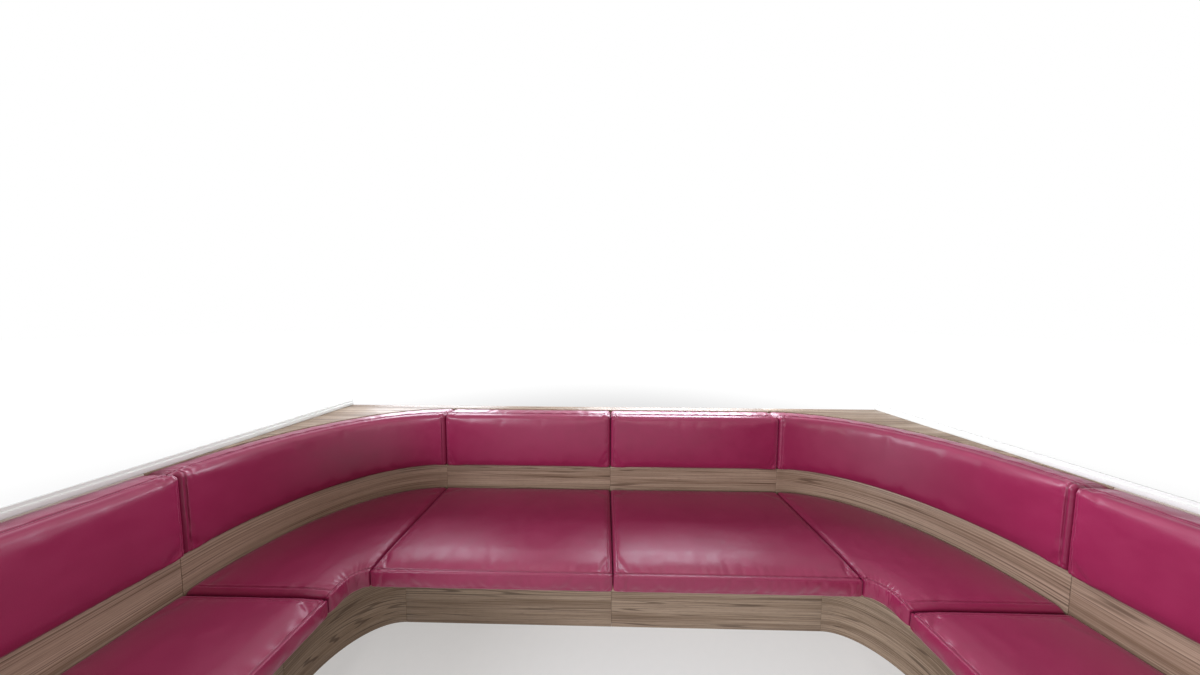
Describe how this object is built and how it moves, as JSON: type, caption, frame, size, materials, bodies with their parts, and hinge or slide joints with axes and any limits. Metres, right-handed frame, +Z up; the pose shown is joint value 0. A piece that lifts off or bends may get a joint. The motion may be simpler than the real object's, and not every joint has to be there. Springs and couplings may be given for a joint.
{
  "type": "upholstered lounge bench",
  "caption": "U-shaped upholstered lounge bench for a railway passenger carriage, with wood band, recessed plinth, shelf and trim strips.",
  "frame": {"origin": "middle of the footprint, on the floor", "axes": "+X along the window wall to the right for someone who faces that wall, +Y towards the window wall, +Z up"},
  "size_m": [3.4, 1.804, 0.925],
  "materials": {
    "cover": "leatherette with a soft sheen",
    "laminate": "satin wood laminate with a straight grain",
    "plywood": "plain lacquered plywood",
    "batten": "planed softwood",
    "lipping": "matt edge lipping",
    "trim": "cream satin profile",
    "bracket": "zinc-plated steel"
  },
  "bodies": {
    "root": {"seat_cushion_arm_left": "cover", "seat_cushion_arm_right": "cover", "seat_cushion_corner_left": "cover", "seat_cushion_corner_right": "cover", "seat_cushion_window_left": "cover", "seat_cushion_window_right": "cover", "back_cushion_arm_left": "cover", "back_cushion_arm_right": "cover", "back_cushion_corner_left": "cover", "back_cushion_corner_right": "cover", "back_cushion_window_left": "cover", "back_cushion_window_right": "cover", "band_arm_left": "laminate", "band_arm_right": "laminate", "band_corner_left": "laminate", "band_corner_right": "laminate", "band_window_left": "laminate", "band_window_right": "laminate", "plinth_arm_left": "laminate", "plinth_arm_right": "laminate", "plinth_corner_left": "laminate", "plinth_corner_right": "laminate", "plinth_window_left": "laminate", "plinth_window_right": "laminate", "shelf_corner_left": "laminate", "shelf_corner_right": "laminate", "shelf_window_left": "laminate", "shelf_window_right": "laminate", "end_panel_left": "laminate", "end_panel_right": "laminate", "capping_arm_left": "lipping", "capping_arm_right": "lipping", "seat_board_arm_left": "plywood", "seat_board_arm_right": "plywood", "seat_board_corner_left": "plywood", "seat_board_corner_right": "plywood", "seat_board_window_left": "plywood", "seat_board_window_right": "plywood", "back_board_arm_left": "plywood", "back_board_arm_right": "plywood", "back_board_corner_left": "plywood", "back_board_corner_right": "plywood", "back_board_window_left": "plywood", "back_board_window_right": "plywood", "ribs_left": "plywood", "ribs_right": "plywood", "wall_battens_left": "batten", "wall_battens_right": "batten", "trim_strip_left": "trim", "trim_strip_right": "trim", "floor_brackets_left": "bracket", "floor_brackets_right": "bracket"}
  },
  "joints": []
}
